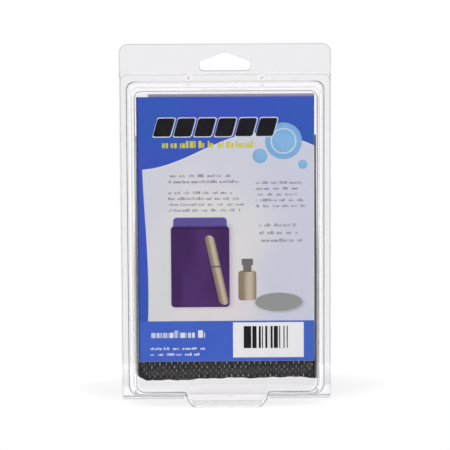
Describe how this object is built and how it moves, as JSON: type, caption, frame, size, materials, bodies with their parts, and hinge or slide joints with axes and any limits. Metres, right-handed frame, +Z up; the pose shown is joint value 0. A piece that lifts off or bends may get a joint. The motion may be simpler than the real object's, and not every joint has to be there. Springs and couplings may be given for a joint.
{
  "type": "insulin cooling case",
  "caption": "Clear hinged hanging case that holds a printed card and a black mesh cooling wallet with a water-holding inner sleeve.",
  "frame": {"origin": "centre of the overall box in X and Y, on the surface that the foot stands on", "axes": "+X to the right and +Y to the back as someone facing the dome sees the case, +Z up"},
  "size_m": [0.1232, 0.0208, 0.2097],
  "materials": {
    "clear_plastic": "clear thermoformed sheet",
    "printed_card": "satin printed",
    "black_mesh": "open knitted mesh",
    "black_tape": "woven tape",
    "purple_fabric": "woven",
    "felt_core": "absorbent felt",
    "grey_lining": "smooth woven"
  },
  "bodies": {
    "case_front": {"front_shell": "clear_plastic", "living_hinge_left": "clear_plastic", "living_hinge_right": "clear_plastic"},
    "case_back": {"back_shell": "clear_plastic"},
    "card": {"insert_card": "printed_card"},
    "wallet_cover": {"cover_front_panel": "black_mesh", "cover_back_panel": "black_mesh", "cover_mouth_tape_front": "black_tape", "cover_mouth_tape_back": "black_tape", "cover_seam_tape_left": "black_tape", "cover_seam_tape_right": "black_tape"},
    "inner_sleeve": {"sleeve_front_fabric": "purple_fabric", "sleeve_back_fabric": "purple_fabric", "sleeve_front_lining": "grey_lining", "sleeve_back_lining": "grey_lining", "absorbent_core_front": "felt_core", "absorbent_core_back": "felt_core", "sleeve_binding_left": "purple_fabric", "sleeve_binding_right": "purple_fabric", "sleeve_binding_bottom": "purple_fabric", "sleeve_divider": "grey_lining"}
  },
  "joints": [
    {"name": "back_shell_hinge", "type": "hinge", "parent": "case_front", "child": "case_back", "pos_m": [0, 0.00965, 0.0023], "axis": [-1, 0, 0], "range_deg": [0, 90]},
    {"name": "card_slide", "type": "slide", "parent": "case_back", "child": "card", "axis": [0, 0, 1], "range_m": [0, 0.072]},
    {"name": "wallet_slide", "type": "slide", "parent": "case_back", "child": "wallet_cover", "axis": [0, 0, 1], "range_m": [0, 0.12]},
    {"name": "sleeve_slide", "type": "slide", "parent": "wallet_cover", "child": "inner_sleeve", "axis": [0, 0, 1], "range_m": [0, 0.06]}
  ],
  "couplings": [
    {"joint": "card_slide", "follows": "back_shell_hinge", "m_per_rad": 0.0458},
    {"joint": "wallet_slide", "follows": "back_shell_hinge", "m_per_rad": 0.0763},
    {"joint": "sleeve_slide", "follows": "back_shell_hinge", "m_per_rad": 0.0381}
  ]
}
